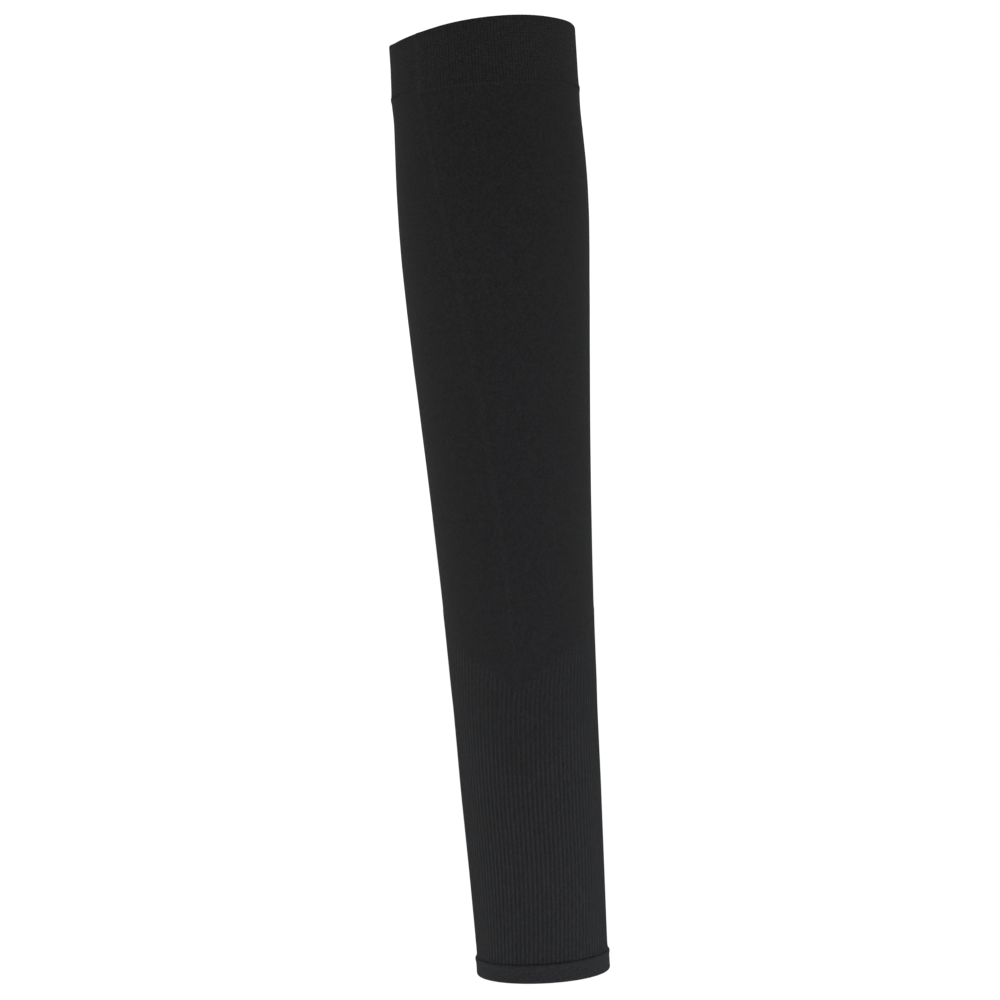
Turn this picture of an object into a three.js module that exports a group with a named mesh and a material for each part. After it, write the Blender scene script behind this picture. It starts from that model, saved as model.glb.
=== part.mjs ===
// A seamless knitted sport sleeve for the arm, in its worn form.
// One knitted tube is plain over the upper arm and ribbed over the forearm. A wide welt, turned double, grips the
// upper arm, and a narrow hem, turned double, ends the sleeve at the wrist.
// Sizes are millimetres and degrees. +Z runs up the arm, -Y is the front, and the origin is the centre of the upper
// opening. An angle is measured round the sleeve from the front, positive towards +X. A height is given as the
// distance below the origin.
import * as THREE from "three";

// Driving dimensions
const SLEEVE_LENGTH = 420; // centre of the upper opening to the wrist edge
const DEPTH_SHARE = 0.96; // front-to-back size as a share of the width
const KNIT_WALL = 1.2; // one layer of knit
const TURNED_WALL = 2.0; // two layers, where the knit is turned back on itself
const SEAM_GAP = 0.3; // between the tube and each turned end

// The welt: its lower edge is level, and its rim leans up to the front and to the right.
const WELT_DROP = 26.4;
const WELT_RIDGE = 0.5; // how far its linked edge stands proud
const RIM_FRONT_RISE = 3.6;
const RIM_RIGHT_RISE = 2.4;

// The hem at the wrist
const HEM_HEIGHT = 8.6;
const HEM_PROUD = 0.4; // how far it stands out from the ribs
const HEM_RIDGE = 0.3;

// The ribs: their upper edge is a V whose lowest point is near the front, with a second one opposite.
const RIB_COUNT = 96;
const RIB_DEPTH = 0.4;
const RIB_V_BELOW = 290.5;
const RIB_V_ANGLE = -5.5;
const RIB_V_LEFT_CLIMB = 36; // from the lowest point to the side
const RIB_V_RIGHT_CLIMB = 32;

// A soft crease winds from the welt down to the lowest point of the ribs' V.
const CREASE_TOP_ANGLE = -43;
const CREASE_BEND = 1.8; // above 1, it winds faster near the welt
const CREASE_LIFT = 0.35;

// The outline of the worn sleeve from the front: a row for each section
const SECTIONS = [
  { below: 0, halfWidth: 41.7, centre: -0.3 },
  { below: 15, halfWidth: 41.75, centre: -0.55 },
  { below: 25, halfWidth: 42.0, centre: -0.6 },
  { below: 35, halfWidth: 41.8, centre: -0.42 },
  { below: 50, halfWidth: 42.45, centre: -0.26 },
  { below: 75, halfWidth: 42.85, centre: -0.36 },
  { below: 100, halfWidth: 42.06, centre: -0.76 },
  { below: 140, halfWidth: 39.88, centre: -1.03 },
  { below: 200, halfWidth: 36.32, centre: -0.91 },
  { below: 260, halfWidth: 33.6, centre: -0.73 },
  { below: 300, halfWidth: 32.35, centre: -0.54 },
  { below: 340, halfWidth: 31.47, centre: -0.42 },
  { below: 380, halfWidth: 30.2, centre: -0.17 },
  { below: 408, halfWidth: 29.42, centre: -0.12 },
  { below: 420, halfWidth: 29.38, centre: -0.2 },
];

// The linked edge of a turned end: how much of its ridge stands up at each distance from the seam
const LINKED_EDGE = [
  { along: 0, ridgeShare: -0.4 },
  { along: 0.5, ridgeShare: 1 },
  { along: 1.4, ridgeShare: 1 },
  { along: 3.2, ridgeShare: 0 },
];

// Facets
const SIDES = 48;
const FOLD_STEPS = 4;
const PLAIN_LEVELS = [30, 37, 45, 56, 70, 85, 100, 120, 145, 175, 205, 235];
const RIB_SHARES = [0, 0.04, 0.25, 0.5, 0.75, 1];

const TUBE_TOP = WELT_DROP + SEAM_GAP;
const HEM_TOP = SLEEVE_LENGTH - HEM_HEIGHT;
const TUBE_END = HEM_TOP - SEAM_GAP;

const outline = new THREE.CubicInterpolant(
  SECTIONS.map((section) => section.below),
  SECTIONS.flatMap((section) => [section.halfWidth, section.centre]),
  2,
);

// A point of the sleeve's wall, inset from its outline.
function wallPoint(angle, below, inset) {
  const [halfWidth, centre] = outline.evaluate(below);
  const turn = THREE.MathUtils.degToRad(angle);
  return new THREE.Vector3(
    centre + (halfWidth - inset) * Math.sin(turn),
    -(halfWidth * DEPTH_SHARE - inset) * Math.cos(turn),
    -below,
  );
}

// A closed ring of points round the sleeve, counterclockwise seen from above.
function ring(count, startAngle, pointAt) {
  return Array.from({ length: count }, (_, i) =>
    pointAt(startAngle + (360 * i) / count, i),
  );
}

// The solid whose surface runs down through the outer rings, up through the inner ones and back to the first.
function solidThrough(rings) {
  const columns = rings[0].length;
  const triangles = [];
  rings.forEach((_, row) => {
    const upper = row * columns;
    const lower = ((row + 1) % rings.length) * columns;
    for (let column = 0; column < columns; column += 1) {
      const next = (column + 1) % columns;
      triangles.push(upper + column, lower + column, upper + next);
      triangles.push(upper + next, lower + column, lower + next);
    }
  });
  const geometry = new THREE.BufferGeometry().setFromPoints(rings.flat());
  geometry.setIndex(triangles);
  geometry.computeVertexNormals();
  return geometry;
}

// The height of the rim above the origin, a leaning plane.
function rimRise(angle) {
  const turn = THREE.MathUtils.degToRad(angle);
  return RIM_FRONT_RISE * Math.cos(turn) + RIM_RIGHT_RISE * Math.sin(turn);
}

// The section of a turned end, from its linked edge along the outside, round the fold and back along the inside.
function turnedSection(height, proud, ridge) {
  const foldRadius = TURNED_WALL / 2;
  const section = LINKED_EDGE.map(({ along, ridgeShare }) => ({
    along,
    inset: -proud - ridge * ridgeShare,
  }));
  for (let step = 0; step <= FOLD_STEPS; step += 1) {
    const turn = (Math.PI * step) / FOLD_STEPS;
    section.push({
      along: height - foldRadius + foldRadius * Math.sin(turn),
      inset: -proud + foldRadius - foldRadius * Math.cos(turn),
    });
  }
  section.push({ along: 0, inset: TURNED_WALL - proud });
  return section;
}

// A ring for each row of a turned section, whose height may change round the sleeve.
function turnedRings({ heightAt, belowAt, proud, ridge }) {
  const rows = turnedSection(heightAt(0), proud, ridge).length;
  return Array.from({ length: rows }, (_, row) =>
    ring(SIDES, 0, (angle) => {
      const { along, inset } = turnedSection(heightAt(angle), proud, ridge)[row];
      return wallPoint(angle, belowAt(along), inset);
    }),
  );
}

function upperWelt() {
  const rings = turnedRings({
    heightAt: (angle) => WELT_DROP + rimRise(angle),
    belowAt: (along) => WELT_DROP - along,
    proud: 0,
    ridge: WELT_RIDGE,
  });
  return solidThrough(rings.reverse());
}

function wristHem() {
  return solidThrough(
    turnedRings({
      heightAt: () => HEM_HEIGHT,
      belowAt: (along) => HEM_TOP + along,
      proud: HEM_PROUD,
      ridge: HEM_RIDGE,
    }),
  );
}

// How far below the origin the ribs begin: lowest at the V's point and its opposite, highest at the sides.
function ribEdge(angle) {
  const fromPoint = THREE.MathUtils.euclideanModulo(
    angle - RIB_V_ANGLE + 180,
    360,
  ) - 180;
  const climb = fromPoint < 0 ? RIB_V_LEFT_CLIMB : RIB_V_RIGHT_CLIMB;
  const shareToSide = Math.min(Math.abs(fromPoint), 180 - Math.abs(fromPoint)) / 90;
  return RIB_V_BELOW - climb * shareToSide;
}

// The crease's angle round the sleeve, between the welt and the V's point.
function creaseAngle(below) {
  const shareToGo = (RIB_V_BELOW - below) / (RIB_V_BELOW - WELT_DROP);
  return RIB_V_ANGLE + (CREASE_TOP_ANGLE - RIB_V_ANGLE) * shareToGo ** CREASE_BEND;
}

// A zone of the tube: its rows from top to bottom on the outer face, and back up the inner one.
function tubeZone(columns, rows, insetAt) {
  const face = (faceInset) =>
    rows.map((row) =>
      ring(columns, row.start, (angle, column) =>
        wallPoint(angle, row.belowAt(angle), faceInset(row, angle, column)),
      ),
    );
  return solidThrough([...face(insetAt), ...face(() => KNIT_WALL).reverse()]);
}

// The plain zone, whose first column follows the crease and stands up along it.
function plainTube() {
  const rows = [TUBE_TOP, ...PLAIN_LEVELS].map((below) => ({
    start: creaseAngle(below),
    belowAt: () => below,
  }));
  rows.push({ start: RIB_V_ANGLE, belowAt: ribEdge });
  return tubeZone(SIDES, rows, (row, angle, column) => (column ? 0 : -CREASE_LIFT));
}

// The ribbed zone: crests on the outline, with valleys between them that deepen from the V's edge.
function ribbedTube() {
  const top = (angle) => ribEdge(angle) + SEAM_GAP;
  const rows = RIB_SHARES.map((share) => ({
    start: RIB_V_ANGLE,
    belowAt: (angle) => THREE.MathUtils.lerp(top(angle), TUBE_END, share),
    depth: share ? RIB_DEPTH : 0,
  }));
  return tubeZone(2 * RIB_COUNT, rows, (row, angle, column) =>
    column % 2 ? row.depth : 0,
  );
}

const knit = {
  plain: new THREE.MeshStandardMaterial({ color: 0x232324, roughness: 0.92, metalness: 0 }),
  ribbed: new THREE.MeshStandardMaterial({ color: 0x282829, roughness: 0.92, metalness: 0 }),
  turned: new THREE.MeshStandardMaterial({ color: 0x28292a, roughness: 0.9, metalness: 0 }),
};

function piece(name, geometry, material) {
  const mesh = new THREE.Mesh(geometry, material);
  mesh.name = name;
  return mesh;
}

const sleeve = new THREE.Group();
sleeve.add(
  piece("upper_welt", upperWelt(), knit.turned),
  piece("plain_tube", plainTube(), knit.plain),
  piece("ribbed_tube", ribbedTube(), knit.ribbed),
  piece("wrist_hem", wristHem(), knit.turned),
);

export default sleeve;
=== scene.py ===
# %% [markdown]
# # A seamless knitted sport sleeve
# The sleeve is one knitted tube. It is plain over the upper arm, ribbed over the forearm, and turned double
# at both ends: a wide welt grips the upper arm and a narrow hem ends it at the wrist. Nothing on it is
# hard, so the whole lesson is about cloth: walls that follow the solids, relief that follows a rule, and
# matt black yarn. Everything is in metres, in the frame of the solids: +Z runs up the arm and -Y is the
# front. An angle is measured round the sleeve from the front, positive towards +X.

# %% Load the frame
import math

import bpy
import numpy as np
from mathutils import Matrix, Vector


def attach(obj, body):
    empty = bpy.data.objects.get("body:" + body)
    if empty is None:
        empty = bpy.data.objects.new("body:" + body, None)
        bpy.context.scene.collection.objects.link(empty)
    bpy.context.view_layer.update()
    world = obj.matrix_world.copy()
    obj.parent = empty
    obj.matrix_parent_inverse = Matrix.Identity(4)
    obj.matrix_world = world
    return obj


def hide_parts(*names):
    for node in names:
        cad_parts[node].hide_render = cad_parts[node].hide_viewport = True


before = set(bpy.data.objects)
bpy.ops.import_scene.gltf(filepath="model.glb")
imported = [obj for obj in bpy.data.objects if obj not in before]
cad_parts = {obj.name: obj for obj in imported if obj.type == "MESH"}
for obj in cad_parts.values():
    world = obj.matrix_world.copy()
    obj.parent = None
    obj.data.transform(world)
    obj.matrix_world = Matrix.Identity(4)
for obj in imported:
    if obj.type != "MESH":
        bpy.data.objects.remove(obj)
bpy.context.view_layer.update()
MM = 0.001
TURN = 2 * math.pi
print("solids:", sorted(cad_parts))

# %% [markdown]
# ## Measuring the solids
# The looks have to sit where the solids are, so the sizes come from them. A level plane cuts a solid's
# triangles in points. The farthest point in each sector lies on the outline, and an ellipse is fitted
# through those. A sleeve could also be traced by hand, but then it would drift from the solids whenever
# they change.

# %% Cut the solids at a level
SECTORS = 48


def node_triangles(node):
    """The corner points of a solid's triangles, three by three."""
    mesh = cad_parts[node].data
    mesh.calc_loop_triangles()
    points = np.empty(len(mesh.vertices) * 3)
    mesh.vertices.foreach_get("co", points)
    corners = np.empty(len(mesh.loop_triangles) * 3, np.int32)
    mesh.loop_triangles.foreach_get("vertices", corners)
    return points.reshape(-1, 3)[corners].reshape(-1, 3, 3)


def cut_points(triangles, level):
    """Where a level plane crosses the triangles' edges."""
    start = triangles.reshape(-1, 3)
    end = np.roll(triangles, -1, axis=1).reshape(-1, 3)
    crosses = (start[:, 2] - level) * (end[:, 2] - level) < 0
    start, end = start[crosses], end[crosses]
    share = (level - start[:, 2]) / (end[:, 2] - start[:, 2])
    return start + share[:, None] * (end - start)


def outline_at(triangles, level):
    """Centre, half width and half depth of the outer ellipse at a level."""
    points = cut_points(triangles, level)
    x, y = points[:, 0], points[:, 1]
    reach = np.hypot(x - x.mean(), y)
    sector = np.floor(np.arctan2(x - x.mean(), -y) / TURN * SECTORS)
    far = [np.flatnonzero(sector == s)[reach[sector == s].argmax()] for s in np.unique(sector)]
    x, y = x[far], y[far]
    # In the ellipse's equation, a, b and c are the factors of x squared, x and y squared.
    a, b, c = np.linalg.lstsq(np.stack([x * x, x, y * y], 1), np.ones(len(x)), rcond=None)[0]
    size = 1 + b * b / (4 * a)
    return -b / (2 * a), math.sqrt(size / a), math.sqrt(size / c)


print("triangles:", {node: len(node_triangles(node)) for node in sorted(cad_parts)})

# %% The sleeve's outline from the rim to the wrist
LEVEL_STEP = 8 * MM
TUBE_EDGE_SKIP = 0.2 * MM
WELT_EDGE_SKIP = 4 * MM
RIM_SKIP = 8 * MM
HEM_EDGE_SKIP = LEVEL_STEP / 3


def smooth_curve(places, values):
    """A function that runs smoothly through the values at those places."""
    slopes = np.gradient(values, places)

    def at(place):
        place = np.clip(place, places[0], places[-1])
        low = np.clip(np.searchsorted(places, place) - 1, 0, len(places) - 2)
        step = places[low + 1] - places[low]
        t = (place - places[low]) / step
        start = (1 + 2 * t) * (1 - t) ** 2 * values[low] + t * (1 - t) ** 2 * step * slopes[low]
        end = t * t * (3 - 2 * t) * values[low + 1] + t * t * (t - 1) * step * slopes[low + 1]
        return start + end

    return at


tube = np.concatenate([node_triangles("plain_tube"), node_triangles("ribbed_tube")])
tube_low, tube_high = tube[:, :, 2].min(), tube[:, :, 2].max()
welt = node_triangles("upper_welt")
welt_low = welt[:, :, 2].min()
hem = node_triangles("wrist_hem")
hem_low, hem_high = hem[:, :, 2].min(), hem[:, :, 2].max()

tube_levels = np.arange(tube_low + TUBE_EDGE_SKIP, tube_high, LEVEL_STEP)
welt_levels = np.arange(welt_low + WELT_EDGE_SKIP, -RIM_SKIP, LEVEL_STEP / 2)
found = [outline_at(tube, level) for level in tube_levels]
found += [outline_at(welt, level) for level in welt_levels]
levels = np.concatenate([tube_levels, welt_levels])
centre_at, half_width_at, half_depth_at = [smooth_curve(levels, np.array(part)) for part in zip(*found)]
hem_proud = outline_at(hem, hem_low + HEM_EDGE_SKIP)[1] - half_width_at(tube_low)
print("outline levels:", len(levels), " widest, mm:", round(2 * max(f[1] for f in found) / MM, 1))
print("hem stands proud, mm:", round(hem_proud / MM, 2))

# %% The wall's thickness and the plane of the rim
mid_level = (tube_low + tube_high) / 2
across = cut_points(tube, mid_level)
reach = np.hypot(across[:, 0] - across[:, 0].mean(), across[:, 1])
knit_wall = reach.max() - reach.min() - (half_width_at(mid_level) - half_depth_at(mid_level))


def angle_of(points):
    """The angle of points round the sleeve, from 0 to a full turn."""
    z = points[:, 2]
    x = (points[:, 0] - centre_at(z)) / half_width_at(z)
    return np.arctan2(x, -points[:, 1] / half_depth_at(z)) % TURN


def top_of_sectors(points, sectors):
    """The highest point in each sector round the sleeve."""
    sector = np.round(angle_of(points) / TURN * sectors).astype(int) % sectors
    return np.array([points[sector == s][points[sector == s][:, 2].argmax()] for s in np.unique(sector)])


rim_points = top_of_sectors(welt.reshape(-1, 3), SECTORS)
rim_design = np.c_[np.ones(len(rim_points)), rim_points[:, :2]]
rim_fit = np.linalg.lstsq(rim_design, rim_points[:, 2], rcond=None)[0]
print("knit wall, mm:", round(knit_wall / MM, 2), " rim slopes:", np.round(rim_fit, 3))

# %% The V where the ribs begin
RIBS = 96
# On the worn sleeve the ribs begin a little above the solid's edge, and more so at the sides of the V.
V_POINT_LIFT = 0.7 * MM
V_SIDE_LIFT = 2.0 * MM
V_SIDE_SPREAD = math.radians(12)


def half_turn(angle):
    """An angle brought between minus and plus half a turn."""
    return (angle + math.pi) % TURN - math.pi


v_points = top_of_sectors(node_triangles("ribbed_tube").reshape(-1, 3), 2 * RIBS)
v_points = v_points[np.argsort(angle_of(v_points))]
v_angle_known, v_level_known = angle_of(v_points), v_points[:, 2]
front_points = np.cos(v_angle_known) > 0
v_angle = half_turn(v_angle_known[front_points][v_level_known[front_points].argmin()])


def v_level(angle):
    """The level of the V where plain knit turns into ribs, with sides that bow up a little."""
    level = np.interp(angle % TURN, v_angle_known, v_level_known, period=TURN)
    bow = 1 - np.exp(-np.abs(half_turn(angle - v_angle)) / V_SIDE_SPREAD)
    return level + V_POINT_LIFT + V_SIDE_LIFT * bow


print("V point: angle", round(math.degrees(v_angle), 1), "level, mm", round(v_level(v_angle) / MM, 1))

# %% [markdown]
# ## A wall of cloth
# Each piece is a wall with an outer and an inner face, closed at its ends. A Solidify modifier could
# thicken a single sheet, but these walls are folded at the ends and need a map that runs along the cloth,
# so they are built as rings of points: down the outer face, round the lower edge, up the inner face, and
# back over the top. Every ring has the same number of columns, so the faces are a plain grid. The same grid
# gives the map that the knit is drawn on, with the turn round the sleeve across it and the distance along
# the wall up it. A second copy of the map fills the unit square for anyone who wants to bake the pattern.

# %% Build a closed wall from rings
KNIT_MAP = "KnitMap"
BAKE_MAP = "OFBake"
SHARP_ANGLE = math.radians(60)
YARN_TIPS = 0.12 * MM


def wall_points(angle, level, inset):
    """Points of the sleeve's wall, inset from the tips of its yarn. The arguments may be arrays."""
    inset = inset - YARN_TIPS
    x = centre_at(level) + (half_width_at(level) - inset) * np.sin(angle)
    y = -(half_depth_at(level) - inset) * np.cos(angle)
    return np.stack(np.broadcast_arrays(x, y, level), axis=-1)


def column_angles(columns):
    """The angles of columns that are evenly spread round the sleeve."""
    return TURN * np.arange(columns) / columns


def row_distances(rings):
    """How far down the wall each row lies, measured along the front column."""
    steps = np.linalg.norm(np.diff(rings[:, 0], axis=0), axis=1)
    return np.concatenate([[0], np.cumsum(steps)])


def draw_maps(mesh, rows, columns, along):
    """The knit map, with real distances along the wall, and its copy in the unit square."""
    turn = np.arange(columns + 1) / columns
    across = np.stack([turn[:-1], turn[:-1], turn[1:], turn[1:]], axis=-1)
    across = np.broadcast_to(across, (rows, columns, 4))
    next_along = np.append(along[1:], 2 * along[-1] - along[-2])
    up = np.stack([along, next_along, next_along, along], axis=-1)
    up = np.broadcast_to(up[:, None, :], (rows, columns, 4))
    for map_name, height in ((KNIT_MAP, 1), (BAKE_MAP, next_along[-1])):
        corners = np.stack([across, up / height], axis=-1).astype(np.float32)
        mesh.uv_layers.new(name=map_name).uv.foreach_set("vector", corners.ravel())
    mesh.uv_layers.active = mesh.uv_layers[KNIT_MAP]


def closed_wall(name, rings, marks):
    """A closed mesh through rings of points, with its maps and named values on its points.

    rings is rows by columns by 3, and each mark is rows by columns or can be spread to that.
    """
    rows, columns = rings.shape[:2]
    index = np.arange(rows * columns).reshape(rows, columns)
    below = np.roll(index, -1, axis=0)
    faces = np.stack([index, below, np.roll(below, -1, axis=1), np.roll(index, -1, axis=1)], axis=-1)
    mesh = bpy.data.meshes.new(name)
    mesh.from_pydata(rings.reshape(-1, 3).tolist(), [], faces.reshape(-1, 4).tolist())
    mesh.polygons.foreach_set("use_smooth", np.ones(rows * columns, bool))
    mesh.set_sharp_from_angle(angle=SHARP_ANGLE)
    draw_maps(mesh, rows, columns, row_distances(rings))
    for mark, values in marks.items():
        values = np.broadcast_to(values, (rows, columns)).astype(np.float32)
        mesh.attributes.new(mark, "FLOAT", "POINT").data.foreach_set("value", values.ravel())
    piece = bpy.data.objects.new(name, mesh)
    bpy.context.scene.collection.objects.link(piece)
    print(name, "points:", len(mesh.vertices))
    return piece


# %% [markdown]
# ## Node trees in short calls
# Materials and Geometry Nodes are both trees of nodes. They could be drawn by hand in the node editor, but
# a script can be read, rerun and changed. Written out in full, a tree buries its idea under links, so small
# helpers draw it: one adds a node and fills its inputs, one does a step of arithmetic, and one makes a
# wave.

# %% Helpers that add nodes


def add_node(tree, kind, inputs=(), **settings):
    """A new node, whose inputs are given plain values or other nodes' outputs."""
    node = tree.nodes.new(kind)
    for setting, value in settings.items():
        setattr(node, setting, value)
    for socket, value in dict(inputs).items():
        if isinstance(value, bpy.types.NodeSocket):
            tree.links.new(value, node.inputs[socket])
        else:
            node.inputs[socket].default_value = value
    return node


def calc(tree, operation, *values):
    """One step of arithmetic in a tree."""
    return add_node(tree, "ShaderNodeMath", enumerate(values), operation=operation).outputs[0]


def wave(tree, turns):
    """A wave from 0 to 1 that starts at 1 and repeats once a turn."""
    cosine = calc(tree, "COSINE", calc(tree, "MULTIPLY", turns, TURN))
    return calc(tree, "MULTIPLY_ADD", cosine, 0.5, 0.5)


# %% [markdown]
# ## The yarn
# The sleeve is knitted from matt black yarn. A knit is columns of V-shaped loops, called wales, stacked in
# rows, called courses. A picture of knit could be wrapped round the tube, but a pattern drawn by nodes
# stays sharp from any distance and follows the piece's own map. So one function draws the loops on that
# map: two slanted legs in every wale, with gaps between them that are darkened as painted shade. The loops
# tint the colour, and they are the height for the bump. The grain of the yarn comes in three sizes: short
# strands that differ a little, fine noise for fibres, and broad noise for the uneven tension of a worn
# sleeve. Where a tree has raised the cloth it has stored how far. The yarn there is tinted lighter and
# sunken yarn darker: painted highlight on the raised loops and painted shade in the hollows, besides
# raised loops being a little fuller. A little sheen makes black cloth lighter towards its outline.

# %% Loops, strands and noise
LEG_SLANT = 1.3
STACK_SHARE = 0.6
STRANDS_ROUND = 600
STRAND_HEIGHT = 0.4 * MM
NOISE_DETAIL = 2


def knit_loops(tree, turn, along, wales, course):
    """The height of the loops, from 0 in the gaps to 1 on the legs."""
    row = calc(tree, "DIVIDE", along, course)
    across_wale = calc(tree, "FRACT", calc(tree, "MULTIPLY", turn, wales))
    from_middle = calc(tree, "ABSOLUTE", calc(tree, "SUBTRACT", across_wale, 0.5))
    leg = calc(tree, "SINE", calc(tree, "MULTIPLY", from_middle, TURN))
    stacked = wave(tree, calc(tree, "MULTIPLY_ADD", from_middle, LEG_SLANT, row))
    return calc(tree, "MULTIPLY", leg, calc(tree, "MULTIPLY_ADD", stacked, STACK_SHARE, 1 - STACK_SHARE))


def yarn_strands(tree, turn, along):
    """A value from 0 to 1 that differs from strand to strand."""
    column = calc(tree, "FLOOR", calc(tree, "MULTIPLY", turn, STRANDS_ROUND))
    row = calc(tree, "FLOOR", calc(tree, "DIVIDE", along, STRAND_HEIGHT))
    strand = add_node(tree, "ShaderNodeCombineXYZ", {"X": column, "Y": row}).outputs[0]
    noise = add_node(tree, "ShaderNodeTexWhiteNoise", {"Vector": strand}, noise_dimensions="2D")
    return noise.outputs["Value"]


def object_noise(tree, scale):
    """Smooth noise from 0 to 1 in the piece's own space."""
    where = add_node(tree, "ShaderNodeTexCoord").outputs["Object"]
    noise = {"Vector": where, "Scale": scale, "Detail": NOISE_DETAIL}
    return add_node(tree, "ShaderNodeTexNoise", noise).outputs[0]


# %% One finish function for every knit
BASE = 0.0072
YARN_TINT = (1.015, 0.99, 1.025)
GAP_PAINTED_SHADE = 0.6
FIBRE_SCALE = 1700
FIBRE_SHARE = 1.2
FIBRE_HEIGHT = 0.35
TENSION_SCALE = 28
TENSION = 0.06
BUMP_STRENGTH = 0.6
SMOOTHEST = 0.75
ROUGHNESS_RANGE = 0.2
SPECULAR = 0.033
SHEEN = 0.0052
SHEEN_ROUGHNESS = 0.6
SHEEN_TINT = (1.0, 1.0, 0.93, 1.0)
# How far the cloth is raised; the finish paints raised yarn lighter and sunken yarn darker, as painted
# highlight and painted shade.
RAISE_FOR_PAINTED_LIGHT = "raised"


def about_one(tree, value, share):
    """Turns a value from 0 to 1 into a tint that strays from 1 by a share."""
    return calc(tree, "MULTIPLY_ADD", value, 2 * share, 1 - share)


def knit_finish(name, strength, wales, course, bump, grain, low=1.0, high=1.0, sheen=SHEEN):
    """A knit material.

    strength is the yarn's lightness, wales their count round the sleeve, course a row's height, bump the
    loops' depth and grain how much the strands differ. low and high are the tints of sunken and raised loops:
    painted shade on the sunken ones and painted highlight on the raised ones.
    """
    material = bpy.data.materials.new(name)
    material.use_nodes = True
    tree = material.node_tree
    place = add_node(tree, "ShaderNodeUVMap", uv_map=KNIT_MAP).outputs[0]
    place = add_node(tree, "ShaderNodeSeparateXYZ", {0: place}).outputs
    loop = knit_loops(tree, place["X"], place["Y"], wales, course)
    fibres = object_noise(tree, FIBRE_SCALE)
    raised = add_node(tree, "ShaderNodeAttribute", attribute_name=RAISE_FOR_PAINTED_LIGHT).outputs["Fac"]
    # The gaps between the loop legs are darkened: painted shade.
    tint = calc(tree, "MULTIPLY_ADD", loop, 1 - GAP_PAINTED_SHADE, GAP_PAINTED_SHADE)
    for next_tint in (
        about_one(tree, fibres, FIBRE_SHARE * grain),
        about_one(tree, yarn_strands(tree, place["X"], place["Y"]), grain),
        about_one(tree, object_noise(tree, TENSION_SCALE), TENSION),
        # Raised loops are tinted lighter and sunken ones darker: painted highlight and painted shade.
        calc(tree, "MULTIPLY_ADD", raised, high - low, low),
    ):
        tint = calc(tree, "MULTIPLY", tint, next_tint)
    colour = tuple(part * BASE * strength for part in YARN_TINT)
    yarn = add_node(tree, "ShaderNodeVectorMath", {0: colour, "Scale": tint}, operation="SCALE").outputs[0]
    height = calc(tree, "MULTIPLY_ADD", fibres, FIBRE_HEIGHT, loop)
    relief = add_node(tree, "ShaderNodeBump", {"Height": height, "Strength": BUMP_STRENGTH, "Distance": bump})
    shader = tree.nodes["Principled BSDF"].inputs
    tree.links.new(yarn, shader["Base Color"])
    tree.links.new(calc(tree, "MULTIPLY_ADD", fibres, ROUGHNESS_RANGE, SMOOTHEST), shader["Roughness"])
    tree.links.new(relief.outputs[0], shader["Normal"])
    shader["Specular IOR Level"].default_value = SPECULAR
    shader["Sheen Weight"].default_value = sheen
    shader["Sheen Roughness"].default_value = SHEEN_ROUGHNESS
    shader["Sheen Tint"].default_value = SHEEN_TINT
    print("finish:", name)
    return material


# %% The finishes
TURNED_WALES = 180
TURNED_COURSE = 0.94 * MM
BUMP = 0.12 * MM
THREAD_BUMP = 0.08 * MM

plain_finish = knit_finish(
    "plain_knit", strength=0.98, wales=4 * RIBS, course=0.55 * MM, bump=BUMP, grain=0.42,
    low=1.0, high=1.1,
)
ribbed_finish = knit_finish(
    "ribbed_knit", strength=1.0, wales=2 * RIBS, course=0.8 * MM, bump=BUMP, grain=0.4,
    low=0.935, high=1.44, sheen=0.0067,
)
welt_finish = knit_finish(
    "welt_knit", strength=1.08, wales=TURNED_WALES, course=TURNED_COURSE, bump=BUMP, grain=0.4,
    low=0.4, high=1.6,
)
hem_finish = knit_finish(
    "hem_knit", strength=1.22, wales=TURNED_WALES, course=TURNED_COURSE, bump=BUMP, grain=0.38,
    low=0.65, high=1.45,
)
# The thread is tinted lighter than the yarn: painted highlight on the stitches.
thread_finish = knit_finish(
    "link_thread", strength=1.5, wales=400, course=0.5 * MM, bump=THREAD_BUMP, grain=0.25,
)

# %% [markdown]
# ## Relief by Geometry Nodes
# The relief of a knit follows rules. It could be sculpted, but a tree of nodes gives it evenly all round
# and shows its sizes as named inputs. A tree reads values that were stored on the points of a wall, moves
# the points along their normals, stores how far the cloth is raised, makes everything real and sets the
# finish. Then the evaluated mesh is copied and the modifier is removed, so each piece ends as a plain mesh.

# %% Helpers that build and run a geometry tree


def mark_value(tree, mark):
    """A value that was stored on the points of a piece."""
    node = add_node(tree, "GeometryNodeInputNamedAttribute", {"Name": mark}, data_type="FLOAT")
    return node.outputs["Attribute"]


def store_raised(tree, geometry, value):
    """Stores how far the cloth is raised, for its finish to paint as highlight on raised yarn and shade on
    sunken yarn.
    """
    inputs = {"Geometry": geometry, "Name": RAISE_FOR_PAINTED_LIGHT, "Value": value}
    return add_node(tree, "GeometryNodeStoreNamedAttribute", inputs, data_type="FLOAT").outputs[0]


def push_out(tree, geometry, height):
    """Moves every point along its normal by a height."""
    normal = tree.nodes.new("GeometryNodeInputNormal").outputs[0]
    offset = add_node(tree, "ShaderNodeVectorMath", {0: normal, "Scale": height}, operation="SCALE")
    moved = {"Geometry": geometry, "Offset": offset.outputs[0]}
    return add_node(tree, "GeometryNodeSetPosition", moved).outputs[0]


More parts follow.
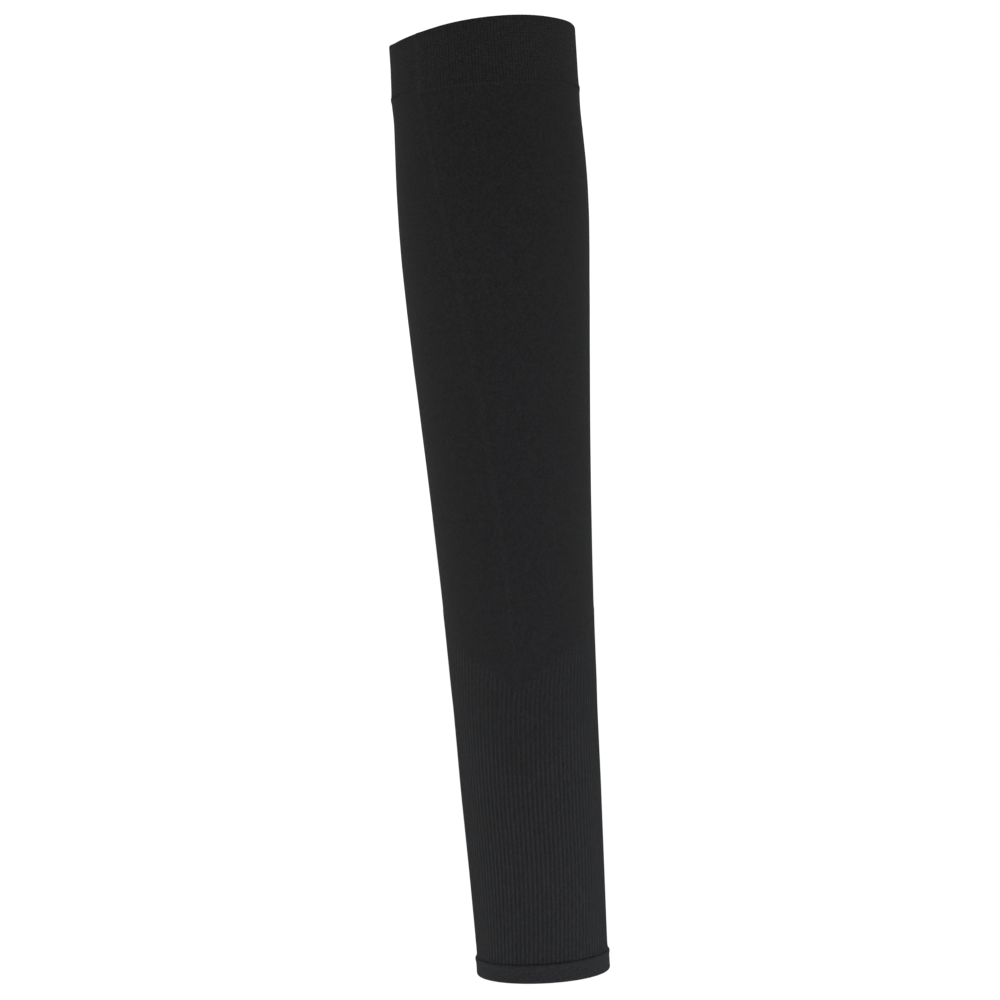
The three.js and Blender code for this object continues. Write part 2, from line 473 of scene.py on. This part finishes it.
def start_tree(name, sizes):
    """A geometry tree with named sizes, and the outputs and inputs of its two ends."""
    tree = bpy.data.node_groups.new(name, "GeometryNodeTree")
    tree.interface.new_socket("Geometry", in_out="INPUT", socket_type="NodeSocketGeometry")
    for size in sizes:
        tree.interface.new_socket(size, in_out="INPUT", socket_type="NodeSocketFloat")
    tree.interface.new_socket("Finish", in_out="INPUT", socket_type="NodeSocketMaterial")
    tree.interface.new_socket("Geometry", in_out="OUTPUT", socket_type="NodeSocketGeometry")
    given = tree.nodes.new("NodeGroupInput").outputs
    result = tree.nodes.new("NodeGroupOutput").inputs
    return tree, given, result


def end_tree(tree, geometry, given, result):
    """Realizes what the tree made and gives it its finish."""
    real = add_node(tree, "GeometryNodeRealizeInstances", {"Geometry": geometry}).outputs[0]
    finished = add_node(tree, "GeometryNodeSetMaterial", {"Geometry": real, "Material": given["Finish"]})
    tree.links.new(finished.outputs[0], result[0])


def run_tree(piece, tree, sizes):
    """Runs a geometry tree on a piece and leaves the result as a plain mesh."""
    modifier = piece.modifiers.new(tree.name, "NODES")
    modifier.node_group = tree
    for item in tree.interface.items_tree:
        if item.in_out == "INPUT" and item.name in sizes:
            modifier[item.identifier] = sizes[item.name]
    evaluated = piece.evaluated_get(bpy.context.evaluated_depsgraph_get())
    mesh = bpy.data.meshes.new_from_object(evaluated)
    piece.modifiers.remove(modifier)
    piece.data = mesh
    print(piece.name, "faces:", len(mesh.polygons))
    return piece


# %% [markdown]
# ## The plain tube
# Over the upper arm the knit is smooth. It carries one soft crease, left from lying folded flat, that winds
# from the welt down to the point of the V. The solid has that crease as a raised column, so its path is
# read there. A tree lifts a narrow ridge along it and adds a slow, slight unevenness, as cloth over a form
# has. At the top the tube runs up under the welt and rises a little to meet its edge, so no slit shows
# between them. A cloth simulation would only pull such a tight tube straight, so the relief is worked out
# instead.

# %% Where the crease runs
POINT_DIGITS = 6
RING_DIGITS = 5
SAME_RING = 0.01 * MM


def crease_path():
    """Level and angle of the raised column, from the solid's own rings."""
    points = np.unique(np.round(node_triangles("plain_tube").reshape(-1, 3), POINT_DIGITS), axis=0)
    points = points[points[:, 2] > v_level_known.max()]
    z = points[:, 2]
    ratio = np.hypot((points[:, 0] - centre_at(z)) / half_width_at(z), points[:, 1] / half_depth_at(z))
    path = [(v_level(v_angle), v_angle)]
    for ring in np.unique(np.round(z, RING_DIGITS)):
        on_ring = np.flatnonzero(np.abs(z - ring) < SAME_RING)
        # A ring of the outer and inner face has more points than sectors, and the crease is its farthest one.
        if len(on_ring) > SECTORS:
            farthest = points[on_ring[ratio[on_ring].argmax()]]
            path.append((ring, half_turn(angle_of(farthest[None])[0])))
    return np.array(path)


crease = crease_path()
crease_angle_at = smooth_curve(crease[:, 0], crease[:, 1])
print("crease angle at the welt:", round(math.degrees(crease[-1, 1]), 1))


def from_crease(angle, level):
    """Distance round the sleeve from the crease, in metres."""
    return half_turn(angle - crease_angle_at(level)) * half_width_at(level)


# %% The plain tube's wall
PLAIN_COLUMNS = 480
PLAIN_ROWS = 120
PLAIN_INNER_ROWS = 24
# Above 1, the rows lie closer together near the welt.
PLAIN_ROW_BIAS = 1.25
SEAM_OVERLAP = 0.6 * MM
SEAM_RISE = 0.1 * MM
SEAM_ROUND = 1.6 * MM

angles = column_angles(PLAIN_COLUMNS)
plain_top = welt_low + SEAM_OVERLAP


def plain_level(share):
    """The levels of rows at these shares of the way from the top to the V."""
    return plain_top + share[:, None] * (v_level(angles)[None, :] - plain_top)


outer_level = plain_level(np.linspace(0, 1, PLAIN_ROWS) ** PLAIN_ROW_BIAS)
inner_level = plain_level(np.linspace(1, 0, PLAIN_INNER_ROWS))
rise = SEAM_RISE * np.exp(-np.maximum(welt_low - outer_level, 0) / SEAM_ROUND)
outer_rings = wall_points(angles, outer_level, -rise)
inner_rings = wall_points(angles, inner_level, knit_wall)
plain_tube = closed_wall("plain_tube_knit", np.concatenate([outer_rings, inner_rings]), {
    "outer": np.repeat([1.0, 0.0], [PLAIN_ROWS, PLAIN_INNER_ROWS])[:, None],
    "from_crease": from_crease(angles, np.concatenate([outer_level, inner_level])),
})

# %% The tree that lifts the crease
DRAPE_SCALE = 30


def ridge_along(tree, away, width):
    """A ridge that is 1 where away is 0 and falls off over a width."""
    ratio = calc(tree, "DIVIDE", away, width)
    return calc(tree, "EXPONENT", calc(tree, "MULTIPLY", calc(tree, "MULTIPLY", ratio, ratio), -1))


crease_tree, given, result = start_tree("Crease and drape", ["Lift", "Width", "Drape"])
ridge = ridge_along(crease_tree, mark_value(crease_tree, "from_crease"), given["Width"])
noise = add_node(crease_tree, "ShaderNodeTexNoise", {"Scale": DRAPE_SCALE, "Detail": 1}).outputs[0]
drape = calc(crease_tree, "MULTIPLY", calc(crease_tree, "SUBTRACT", noise, 0.5), given["Drape"])
height = calc(crease_tree, "MULTIPLY_ADD", ridge, given["Lift"], drape)
height = calc(crease_tree, "MULTIPLY", height, mark_value(crease_tree, "outer"))
# The crease's ridge is stored so that the finish tints it lighter: painted highlight along the crease.
marked = store_raised(crease_tree, given["Geometry"], ridge)
end_tree(crease_tree, push_out(crease_tree, marked, height), given, result)
run_tree(plain_tube, crease_tree, {
    "Lift": 0.22 * MM,
    "Width": 1.2 * MM,
    "Drape": 0.2 * MM,
    "Finish": plain_finish,
})

# %% [markdown]
# ## The ribbed tube
# Below the V the stitch changes to ribs: raised columns with valleys between. Where a rib begins it is a
# thin ridge that leans to the right, and further down it is broad and round. The worn tube is also twisted
# a little towards the V and towards the wrist, and straight between. Each rib could be modelled and copied
# round, but their width and lean change with the height, so a tree raises them all on a smooth wall: a wave
# round the sleeve, sharpened near the V, faded in over a millimetre and shifted where the ribs lean.

# %% The ribbed tube's wall
RIB_COLUMNS = 10 * RIBS
RIB_ROWS = 70
RIB_INNER_ROWS = 12
# How far the rows lie closer together at both ends, from 0, evenly spaced, to 1.
RIB_ROW_EASE = 0.6
# At its end the tube opens a little towards the hem.
FLARE = 0.35 * MM
FLARE_HEIGHT = 0.9 * MM
# Where the ribs run straight, as a share of the way from the V's point to the hem
EVEN_SHARE = 0.48

angles = column_angles(RIB_COLUMNS)
rib_end = hem_high


def rib_level(share):
    """The levels of rows at these shares of the way from the V to the hem."""
    return v_level(angles)[None, :] + share[:, None] * (rib_end - v_level(angles)[None, :])


spread = np.linspace(0, 1, RIB_ROWS)
eased = np.sin(spread * math.pi / 2) ** 2
outer_level = rib_level(eased * RIB_ROW_EASE + spread * (1 - RIB_ROW_EASE))
inner_level = rib_level(np.linspace(1, 0, RIB_INNER_ROWS))
flare = FLARE * np.exp(-(outer_level - rib_end) / FLARE_HEIGHT)
outer_rings = wall_points(angles, outer_level, -flare)
inner_rings = wall_points(angles, inner_level, knit_wall)
all_levels = np.concatenate([outer_level, inner_level])
even_level = v_level(v_angle) + EVEN_SHARE * (rib_end - v_level(v_angle))
ribbed_tube = closed_wall("ribbed_tube_knit", np.concatenate([outer_rings, inner_rings]), {
    "outer": np.repeat([1.0, 0.0], [RIB_ROWS, RIB_INNER_ROWS])[:, None],
    "below_v": v_level(angles)[None, :] - all_levels,
    "above_even": all_levels - even_level,
    "turn": (half_turn(angles - v_angle) / TURN)[None, :],
})

# %% Where each rib runs
RIB_INPUTS = [
    "Ribs", "First depth", "Full depth", "Fade", "Thin", "Broad", "Thin to", "Broad from",
    "Lean", "Lean height", "Twist", "Twist height", "Waver",
]
WAVER_SCALE = 90
# How much of the waver is gone where the ribs are broad
WAVER_CALM = 0.8


def smooth_step(tree, value, low, high):
    """A smooth climb from 0 at low to 1 at high."""
    inputs = {"Value": value, "From Min": low, "From Max": high}
    return add_node(tree, "ShaderNodeMapRange", inputs, interpolation_type="SMOOTHSTEP").outputs["Result"]


rib_tree, given, result = start_tree("Ribs", RIB_INPUTS)
below_v = mark_value(rib_tree, "below_v")
broad = smooth_step(rib_tree, below_v, given["Thin to"], given["Broad from"])
fall = calc(rib_tree, "DIVIDE", calc(rib_tree, "MULTIPLY", below_v, -1), given["Lean height"])
lean = calc(rib_tree, "MULTIPLY", calc(rib_tree, "EXPONENT", fall), given["Lean"])
from_even = calc(rib_tree, "DIVIDE", mark_value(rib_tree, "above_even"), given["Twist height"])
twist = calc(rib_tree, "MULTIPLY", from_even, calc(rib_tree, "ABSOLUTE", from_even))
shift = calc(rib_tree, "MULTIPLY_ADD", twist, given["Twist"], lean)
noise = add_node(rib_tree, "ShaderNodeTexNoise", {"Scale": WAVER_SCALE, "Detail": 1}).outputs[0]
waver = calc(rib_tree, "MULTIPLY", calc(rib_tree, "SUBTRACT", noise, 0.5), given["Waver"])
waver = calc(rib_tree, "MULTIPLY", waver, calc(rib_tree, "MULTIPLY_ADD", broad, -WAVER_CALM, 1))
phase = calc(rib_tree, "MULTIPLY", mark_value(rib_tree, "turn"), given["Ribs"])
phase = calc(rib_tree, "ADD", calc(rib_tree, "SUBTRACT", phase, shift), waver)
print("rib tree nodes so far:", len(rib_tree.nodes))

# %% The tree that raises the ribs
# How raised the ground counts in the painted highlight and shade, where no rib has begun yet
GROUND_PAINTED_LIGHT = 0.27


def blend(tree, share, start, end):
    """A value that goes from start to end as the share goes from 0 to 1."""
    return calc(tree, "MULTIPLY_ADD", share, calc(tree, "SUBTRACT", end, start), start)


sharpness = blend(rib_tree, broad, given["Thin"], given["Broad"])
depth = blend(rib_tree, broad, given["First depth"], given["Full depth"])
crest = calc(rib_tree, "POWER", wave(rib_tree, phase), sharpness)
fade = smooth_step(rib_tree, below_v, 0.0, given["Fade"])
# Thin ribs stand on the wall, and broad ones leave their crests on it and sink the valleys.
height = calc(rib_tree, "MULTIPLY", calc(rib_tree, "SUBTRACT", crest, broad), depth)
height = calc(rib_tree, "MULTIPLY", calc(rib_tree, "MULTIPLY", height, fade), mark_value(rib_tree, "outer"))
# Crests are tinted lighter and valleys darker: painted highlight and painted shade.
raised = calc(rib_tree, "MULTIPLY_ADD", calc(rib_tree, "SUBTRACT", crest, GROUND_PAINTED_LIGHT), fade, GROUND_PAINTED_LIGHT)
marked = store_raised(rib_tree, given["Geometry"], raised)
end_tree(rib_tree, push_out(rib_tree, marked, height), given, result)
run_tree(ribbed_tube, rib_tree, {
    "Ribs": RIBS,
    "First depth": 0.17 * MM,
    "Full depth": 0.3 * MM,
    "Fade": 1 * MM,
    "Thin": 5.0,
    "Broad": 1.0,
    "Thin to": 24 * MM,
    "Broad from": 46 * MM,
    "Lean": 0.44,
    "Lean height": 6 * MM,
    "Twist": 1.08,
    "Twist height": 58 * MM,
    "Waver": 0.2,
    "Finish": ribbed_finish,
})

# %% [markdown]
# ## The turned ends
# At both ends the knit is turned inside and linked to itself, so the cloth is double there, with a soft
# fold at the edge. The welt's fold leans: it stands higher at the front, and one corner of it has kept the
# point of an old fold. The hem leans very slightly to one side. A bevelled band could stand for each, but
# the fold and the linked edge are what shows that the cloth is double. Both ends are the same wall, with a
# fold on one side and a linked edge on the other, so one function makes them. A tree then presses the
# coarse grid of loops into their outer face: wales all round, and courses that run parallel to the two
# edges.

# %% A turned wall
FOLD_ROWS = 7
FOLD_SHARE = 0.5
ROWS_PER_COURSE = 3
OUTER_ROWS_PER_INNER = 6
COLUMNS_PER_WALE = 4
TURNED_WALL = 2.0 * MM

turned_angles = column_angles(COLUMNS_PER_WALE * TURNED_WALES)


def turned_wall(
    name, courses, height, level_of, proud, ridge, ridge_at, ridge_width, tuck=0.0, tuck_height=MM
):
    """A double wall with a ridge along its linked edge, which may be tucked in at the seam.

    height is its height at each column, and level_of turns heights above the seam to levels.
    """
    rows = ROWS_PER_COURSE * courses + 1
    inner_rows = rows // OUTER_ROWS_PER_INNER
    radius = TURNED_WALL / 2
    straight = (height - radius)[None, :]
    outer_up = np.linspace(1, 0, rows)[:, None] * straight
    bulge = proud + ridge * np.exp(-(((outer_up - ridge_at) / ridge_width) ** 2))
    bulge = bulge - tuck * np.exp(-outer_up / tuck_height)
    inner_up = np.linspace(0, 1, inner_rows)[:, None] * straight
    inner_bulge = np.full_like(inner_up, proud - TURNED_WALL)
    fold = np.linspace(math.pi, 0, FOLD_ROWS + 2)[1:-1, None]
    fold_up = straight + radius * np.sin(fold)
    fold_bulge = proud - radius + radius * np.cos(fold) + 0 * straight
    up = np.concatenate([outer_up, inner_up, fold_up])
    bulge = np.concatenate([bulge, inner_bulge, fold_bulge])
    outer = np.repeat([1.0, 0.0, FOLD_SHARE], [rows, inner_rows, FOLD_ROWS])
    rings = wall_points(turned_angles, level_of(up), -bulge)
    # A wall that hangs down from its seam is turned over, so that its faces point outwards.
    if level_of(1.0) < level_of(0.0):
        rings, up, outer = rings[::-1], up[::-1], outer[::-1]
    return closed_wall(name, rings, {
        "outer": outer[:, None],
        "share": up / straight,
        "turn": (turned_angles / TURN)[None, :],
        "from_crease": from_crease(turned_angles, crease[-1, 0])[None, :],
    })


# %% The tree that presses the loops
LOOP_INPUTS = [
    "Wales", "Courses", "Wale part", "Course part", "Relief", "Even share",
    "Crease lift", "Crease width", "Crease painted highlight",
]
# How deep the ground counts near the seam, where no loops show
SEAM_GROUND = 0.5

loop_tree, given, result = start_tree("Knit loops", LOOP_INPUTS)
wales = wave(loop_tree, calc(loop_tree, "MULTIPLY", mark_value(loop_tree, "turn"), given["Wales"]))
courses = wave(loop_tree, calc(loop_tree, "MULTIPLY", mark_value(loop_tree, "share"), given["Courses"]))
between_wales = calc(loop_tree, "MULTIPLY", calc(loop_tree, "SUBTRACT", 1, wales), given["Wale part"])
between_courses = calc(loop_tree, "MULTIPLY", calc(loop_tree, "SUBTRACT", 1, courses), given["Course part"])
hole = calc(loop_tree, "ADD", between_wales, between_courses)
clear_of_seam = smooth_step(loop_tree, mark_value(loop_tree, "share"), 0.0, given["Even share"])
from_ground = calc(loop_tree, "SUBTRACT", hole, SEAM_GROUND)
hole = calc(loop_tree, "MULTIPLY_ADD", from_ground, clear_of_seam, SEAM_GROUND)
ridge = ridge_along(loop_tree, mark_value(loop_tree, "from_crease"), given["Crease width"])
pressed = calc(loop_tree, "MULTIPLY", calc(loop_tree, "MULTIPLY", hole, given["Relief"]), -1)
pressed = calc(loop_tree, "MULTIPLY_ADD", ridge, given["Crease lift"], pressed)
pressed = calc(loop_tree, "MULTIPLY", pressed, mark_value(loop_tree, "outer"))
# Pressed holes are tinted darker and the loops and the crease lighter: painted shade and painted highlight.
raised = calc(loop_tree, "MULTIPLY_ADD", ridge, given["Crease painted highlight"], calc(loop_tree, "SUBTRACT", 1, hole))
marked = store_raised(loop_tree, given["Geometry"], raised)
end_tree(loop_tree, push_out(loop_tree, marked, pressed), given, result)
print("loop tree nodes:", len(loop_tree.nodes))

# %% The welt at the upper arm
WELT_COURSES = 32
# Where the worn rim leaves its plane: angle in degrees, lift in millimetres, spread in degrees.
RIM_WAVES = (
    (-90, 2.0, 13),
    (-46, -0.75, 25),
    (53, -0.4, 20),
)


def rim_wave(angle):
    """How far the rim stands above its plane: up at the corner of an old fold, down beside it."""
    lift = np.zeros_like(angle)
    for middle, height, spread in RIM_WAVES:
        away = half_turn(angle - math.radians(middle))
        lift += height * MM * np.exp(-((away / math.radians(spread)) ** 2))
    return lift


rim_middle = wall_points(turned_angles, 0.0, TURNED_WALL / 2)
rim_plane = rim_fit[0] + rim_middle[:, 0] * rim_fit[1] + rim_middle[:, 1] * rim_fit[2]
welt_height = rim_plane + rim_wave(turned_angles) - welt_low
upper_welt = turned_wall(
    "upper_welt_knit", WELT_COURSES, welt_height, lambda up: welt_low + up,
    proud=0.0, ridge=0.28 * MM, ridge_at=0.8 * MM, ridge_width=2.4 * MM,
)
run_tree(upper_welt, loop_tree, {
    "Wales": TURNED_WALES,
    "Courses": WELT_COURSES,
    "Wale part": 0.4,
    "Course part": 0.6,
    "Relief": 0.22 * MM,
    "Even share": 0.16,
    "Crease lift": 0.2 * MM,
    "Crease width": 1.8 * MM,
    "Crease painted highlight": 0.15,
    "Finish": welt_finish,
})
print("welt height, mm:", np.round([welt_height.min() / MM, welt_height.max() / MM], 1))

# %% The hem at the wrist
HEM_COURSES = 9
# The worn hem stands out a little more than the solid's, hangs a little lower, and leans down to the right.
HEM_SPRING = 0.25 * MM
HEM_DROP = 0.2 * MM
HEM_LEAN = 0.45 * MM

hem_height = hem_high - hem_low + HEM_DROP + HEM_LEAN * np.sin(turned_angles)
wrist_hem = turned_wall(
    "wrist_hem_knit", HEM_COURSES, hem_height, lambda up: hem_high - up,
    proud=hem_proud + HEM_SPRING, ridge=0.3 * MM, ridge_at=1.0 * MM, ridge_width=1.2 * MM,
    tuck=0.5 * MM, tuck_height=0.3 * MM,
)
run_tree(wrist_hem, loop_tree, {
    "Wales": TURNED_WALES,
    "Courses": HEM_COURSES,
    "Wale part": 0.8,
    "Course part": 0.2,
    "Relief": 0.14 * MM,
    "Even share": 0.01,
    "Crease lift": 0.0,
    "Crease width": 1.5 * MM,
    "Crease painted highlight": 0.0,
    "Finish": hem_finish,
})
print("hem height, mm:", np.round([hem_height.min() / MM, hem_height.max() / MM], 1))

# %% [markdown]
# ## The linking stitches
# Where the welt is linked to the tube, a row of short upright stitches stands along its lower edge. They
# could be a bump in the finish, but they catch the light along the seam, so they are real. Stitches repeat
# along a ring, so a tree places them: it spaces points along the ring, sets one slim bead on each, turned
# along the ring and leaning left and right by turns, and makes them real.

# %% The tree that sets a row of stitches
BEAD_SEGMENTS = 8
BEAD_RINGS = 6
# A bead of size 1, which the tree scales to a stitch
BEAD_RADIUS = 0.5
LEVEL_PART = (1, 1, 0)

stitch_tree, given, result = start_tree("Stitch row", ["Count", "Length", "Width", "Height", "Lean"])
ring = add_node(stitch_tree, "GeometryNodeMeshToCurve", {0: given["Geometry"]}).outputs[0]
ring = add_node(stitch_tree, "GeometryNodeResampleCurve", {"Curve": ring, "Count": given["Count"]}).outputs[0]
tangent = stitch_tree.nodes.new("GeometryNodeInputTangent").outputs[0]
place = stitch_tree.nodes.new("GeometryNodeInputPosition").outputs[0]
outward = add_node(
    stitch_tree, "ShaderNodeVectorMath", {0: place, 1: LEVEL_PART}, operation="MULTIPLY"
).outputs[0]
along = add_node(stitch_tree, "FunctionNodeAlignRotationToVector", {"Vector": tangent}, axis="X").outputs[0]
facing = add_node(
    stitch_tree, "FunctionNodeAlignRotationToVector", {"Rotation": along, "Vector": outward},
    axis="Z", pivot_axis="X",
).outputs[0]
number = stitch_tree.nodes.new("GeometryNodeInputIndex").outputs[0]
side = calc(stitch_tree, "MULTIPLY_ADD", calc(stitch_tree, "MODULO", number, 2), 2, -1)
lean = calc(stitch_tree, "MULTIPLY", side, given["Lean"])
lean = add_node(stitch_tree, "ShaderNodeCombineXYZ", {"Z": lean}).outputs[0]
facing = add_node(
    stitch_tree, "FunctionNodeRotateRotation", {"Rotation": facing, "Rotate By": lean}, rotation_space="LOCAL"
).outputs[0]
bead_shape = {"Segments": BEAD_SEGMENTS, "Rings": BEAD_RINGS, "Radius": BEAD_RADIUS}
bead = add_node(stitch_tree, "GeometryNodeMeshUVSphere", bead_shape).outputs[0]
bead_size = {"X": given["Length"], "Y": given["Width"], "Z": given["Height"]}
bead_size = add_node(stitch_tree, "ShaderNodeCombineXYZ", bead_size).outputs[0]
bead = add_node(stitch_tree, "GeometryNodeTransform", {"Geometry": bead, "Scale": bead_size}).outputs[0]
bead = add_node(stitch_tree, "GeometryNodeSetShadeSmooth", {0: bead}).outputs[0]
row = add_node(
    stitch_tree, "GeometryNodeInstanceOnPoints", {"Points": ring, "Instance": bead, "Rotation": facing}
).outputs[0]
end_tree(stitch_tree, row, given, result)
print("stitch tree nodes:", len(stitch_tree.nodes))

# %% The row of stitches on the welt
RING_POINTS = 240
STITCH_ABOVE_SEAM = 1.5 * MM
STITCH_PROUD = 0.22 * MM

ring_points = wall_points(column_angles(RING_POINTS), welt_low + STITCH_ABOVE_SEAM, -STITCH_PROUD)
ring_edges = [(i, (i + 1) % RING_POINTS) for i in range(RING_POINTS)]
ring_mesh = bpy.data.meshes.new("welt_stitches")
ring_mesh.from_pydata(ring_points.tolist(), ring_edges, [])
welt_stitches = bpy.data.objects.new("welt_stitches", ring_mesh)
bpy.context.scene.collection.objects.link(welt_stitches)
run_tree(welt_stitches, stitch_tree, {
    "Count": TURNED_WALES,
    "Length": 0.8 * MM,
    "Width": 1.8 * MM,
    "Height": 0.24 * MM,
    "Lean": 0.12,
    "Finish": thread_finish,
})

# %% [markdown]
# ## What each piece is
# Every piece rides on the one body and hides the solid it stands for, and the finish slot it would take is
# printed. The two tubes are sheets of cloth that are stretched over the arm. Their flat size is what they
# measure cut open and laid out, still stretched: it could be read off the mesh, but the girth and height of
# the tube say it more plainly.

standing_for = {
    plain_tube: ("plain_tube", "plain_knit"),
    ribbed_tube: ("ribbed_tube", "ribbed_knit"),
    upper_welt: ("upper_welt", "turned_knit"),
    wrist_hem: ("wrist_hem", "turned_knit"),
}
for piece, (node, slot) in standing_for.items():
    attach(piece, "root")
    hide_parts(node)
    print(piece.name, "stands for", node, "in", slot)
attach(welt_stitches, "root")

FLAT_LEVELS = 200


def girth(level):
    """Distance round the sleeve, by the usual ellipse rule."""
    a, b = half_width_at(level), half_depth_at(level)
    return math.pi * (3 * (a + b) - np.sqrt((3 * a + b) * (a + 3 * b)))


def laid_flat(top, low):
    """Width, length and area of a stretch of tube cut open."""
    around = girth(np.linspace(low, top, FLAT_LEVELS))
    return around.max(), top - low, around.mean() * (top - low)


v_mean = v_level(turned_angles).mean()
for piece, top, low, beside in (
    (plain_tube, plain_top, v_mean, [upper_welt, welt_stitches]),
    (ribbed_tube, v_mean, rib_end, [wrist_hem]),
):
    width, length, area = laid_flat(top, low)
    print(piece.name, "flat, mm:", round(width / MM), "by", round(length / MM), " area, m2:", round(area, 4))

# %% [markdown]
# ## The studio
# The sleeve hangs in plain white light. Its black knit is shaped by the sheen along its outline, by the
# painted highlight and shade in its finishes, and by soft boxes: one in front, three at the sides and one
# above. Most boxes stand low, because the forearm is the lighter end. A large pale floor lies well below the
# sleeve, bright enough to melt into the white around it. The camera stands a little above the middle of the
# sleeve, far away, and is rolled so that the top leans to the left. A turned sleeve would look the same, but
# then it would leave the frame of the solids.

# %% Floor and white surroundings
FLOOR_BELOW = 0.35
FLOOR_SIZE = 40.0
FLOOR_TONE = 0.93
FLOOR_ROUGHNESS = 0.9
WORLD_STRENGTH = 1.1

half = FLOOR_SIZE / 2
floor_level = hem_low - FLOOR_BELOW
floor_corners = [(x, y, floor_level) for x, y in ((-half, -half), (half, -half), (half, half), (-half, half))]
floor_mesh = bpy.data.meshes.new("floor")
floor_mesh.from_pydata(floor_corners, [], [(0, 1, 2, 3)])
floor = bpy.data.objects.new("floor", floor_mesh)
bpy.context.scene.collection.objects.link(floor)
floor_paint = bpy.data.materials.new("pale_floor")
floor_paint.use_nodes = True
floor_shader = floor_paint.node_tree.nodes["Principled BSDF"].inputs
floor_shader["Base Color"].default_value = (FLOOR_TONE, FLOOR_TONE, FLOOR_TONE, 1)
floor_shader["Roughness"].default_value = FLOOR_ROUGHNESS
floor_mesh.materials.append(floor_paint)

world = bpy.data.worlds.new("white_studio")
world.use_nodes = True
surroundings = world.node_tree.nodes["Background"].inputs
surroundings["Color"].default_value = (1, 1, 1, 1)
surroundings["Strength"].default_value = WORLD_STRENGTH
bpy.context.scene.world = world
bpy.context.scene.view_settings.view_transform = "Standard"
print("floor level, mm:", round(floor_level / MM, 1))

# %% Soft boxes
BOX_SIZE = 0.5
# Name, place and aim in metres, power in watts, and colour of each box
SOFT_BOXES = (
    ("low_front_box", (0.05, -0.75, -0.75), (0, 0, -0.42), 9.0, (0.9, 0.99, 1.08)),
    ("left_box", (-0.9, -0.05, -0.25), (0, 0, -0.25), 4.2, (0.95, 1.0, 1.03)),
    ("low_left_box", (-0.75, -0.25, -0.75), (0, 0, -0.4), 10.5, (0.95, 1.0, 1.03)),
    ("low_right_box", (0.7, -0.35, -0.75), (0, 0, -0.4), 17.5, (0.94, 1.0, 1.04)),
    ("top_box", (0.0, -0.45, 0.6), (0, 0, -0.05), 1.6, (1.0, 1.0, 1.0)),
)

for name, place, aim, power, colour in SOFT_BOXES:
    light = bpy.data.lights.new(name, "AREA")
    light.size = BOX_SIZE
    light.energy = power
    light.color = colour
    box = bpy.data.objects.new(name, light)
    turned = (Vector(aim) - Vector(place)).to_track_quat("-Z", "Y").to_matrix().to_4x4()
    box.matrix_world = Matrix.Translation(place) @ turned
    bpy.context.scene.collection.objects.link(box)
    print(name, "watts:", power)

# %% Camera
EYE = Vector((-6.0, -1179.7, -179.1)) * MM
AIM = Vector((-5.9, 0.0, -206.6)) * MM
ROLL = math.radians(3.74)
# The width that the picture spans at the aim
FRAME_WIDTH = 449.9 * MM

forward = (AIM - EYE).normalized()
level_right = forward.cross(Vector((0, 0, 1))).normalized()
level_up = level_right.cross(forward)
up = level_up * math.cos(ROLL) + level_right * math.sin(ROLL)
right = forward.cross(up)
camera_data = bpy.data.cameras.new("camera")
camera_data.lens = camera_data.sensor_width * (AIM - EYE).length / FRAME_WIDTH
camera = bpy.data.objects.new("camera", camera_data)
camera.matrix_world = Matrix.Translation(EYE) @ Matrix((right, up, -forward)).transposed().to_4x4()
bpy.context.scene.collection.objects.link(camera)
bpy.context.scene.camera = camera
print("lens, mm:", round(camera_data.lens, 1))
